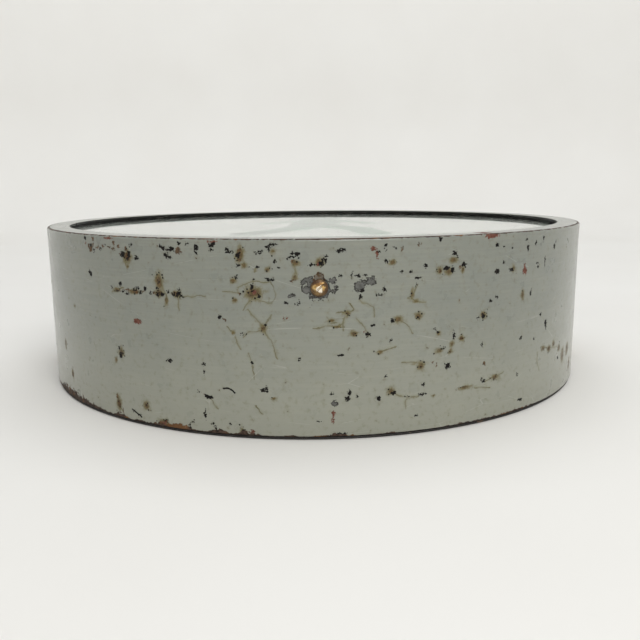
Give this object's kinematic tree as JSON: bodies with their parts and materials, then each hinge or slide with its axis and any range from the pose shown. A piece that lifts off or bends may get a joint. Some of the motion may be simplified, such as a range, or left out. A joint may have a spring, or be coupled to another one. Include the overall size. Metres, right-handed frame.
{
  "type": "pedestrian signal light",
  "caption": "Round drum signal light lying on its back: hinged steel cover with recessed glass and a walking figure, lamps and reflector inside, bolt holes and cable entry behind.",
  "frame": {"origin": "centre of the flat back face, which rests on the wall or table", "axes": "+Z is the way the light shines, +Y is up for the figure and is where the hinge is, +X is to the right seen from above"},
  "size_m": [0.3616, 0.3517, 0.094],
  "materials": {
    "grey_paint": "semi-gloss grey paint, worn and rust-stained",
    "dark_plate": "black primer, worn at the rim",
    "inner_paint": "thin grey paint",
    "rubber": "matt black rubber",
    "clear_glass": "clear float glass",
    "opal": "white opal",
    "figure": "green film",
    "bare_steel": "dull mild steel",
    "zinc": "zinc plated",
    "brass": "tarnished brass",
    "enamel": "white enamel",
    "porcelain": "glazed porcelain",
    "bakelite": "brown moulded bakelite",
    "lamp_glass": "pearl glass",
    "insulation": "brown insulation"
  },
  "bodies": {
    "housing": {"back_plate": "dark_plate", "rim_hoop": "inner_paint", "edge_seal": "rubber", "cable_grommet": "rubber", "hinge_fixed_leaf": "inner_paint", "hinge_pin": "zinc", "plate_rivets": "inner_paint", "clamp_strap_left": "inner_paint", "clamp_strap_right": "inner_paint", "strap_nuts": "brass", "reflector_pillars": "zinc", "reflector": "enamel", "reflector_screws": "brass", "lead_grommet": "rubber", "earth_stud": "brass", "earth_nuts": "brass", "earth_washers": "brass", "lamp_bracket_left": "zinc", "lamp_bracket_right": "zinc", "bracket_screws": "brass", "lamp_holder_left": "porcelain", "lamp_holder_right": "porcelain", "holder_screws": "brass", "holder_shell_left": "brass", "holder_shell_right": "brass", "holder_contacts": "brass", "lamp_cap_left": "zinc", "lamp_cap_right": "zinc", "lamp_glass_left": "lamp_glass", "lamp_glass_right": "lamp_glass", "terminal_block": "bakelite", "terminal_inserts": "brass", "terminal_screws": "zinc", "block_screws": "brass", "lamp_leads_left": "insulation", "lamp_leads_right": "insulation"},
    "cover": {"drum_cover": "grey_paint", "front_gasket": "rubber", "front_glass": "clear_glass", "figure_film": "figure", "opal_diffuser": "opal", "clamp_hoop": "bare_steel", "hoop_nuts": "bare_steel", "side_screws": "brass", "hinge_moving_leaf": "grey_paint", "cover_rivets": "grey_paint", "cover_lug_left": "grey_paint", "cover_lug_right": "grey_paint"},
    "clamp_screw_left": {"clamp_screw_left": "brass", "circlip_left": "bare_steel"},
    "clamp_screw_right": {"clamp_screw_right": "brass", "circlip_right": "bare_steel"}
  },
  "joints": [
    {"name": "cover_hinge", "type": "hinge", "parent": "housing", "child": "cover", "pos_m": [0, 0.1748, 0.0055], "axis": [-1, 0, 0], "range_deg": [0, 95]},
    {"name": "clamp_screw_left_turn", "type": "hinge", "parent": "cover", "child": "clamp_screw_left", "pos_m": [-0.1754, 0, 0.02], "axis": [0, 0, 1], "continuous": true},
    {"name": "clamp_screw_right_turn", "type": "hinge", "parent": "cover", "child": "clamp_screw_right", "pos_m": [0.1754, 0, 0.02], "axis": [0, 0, 1], "continuous": true}
  ]
}
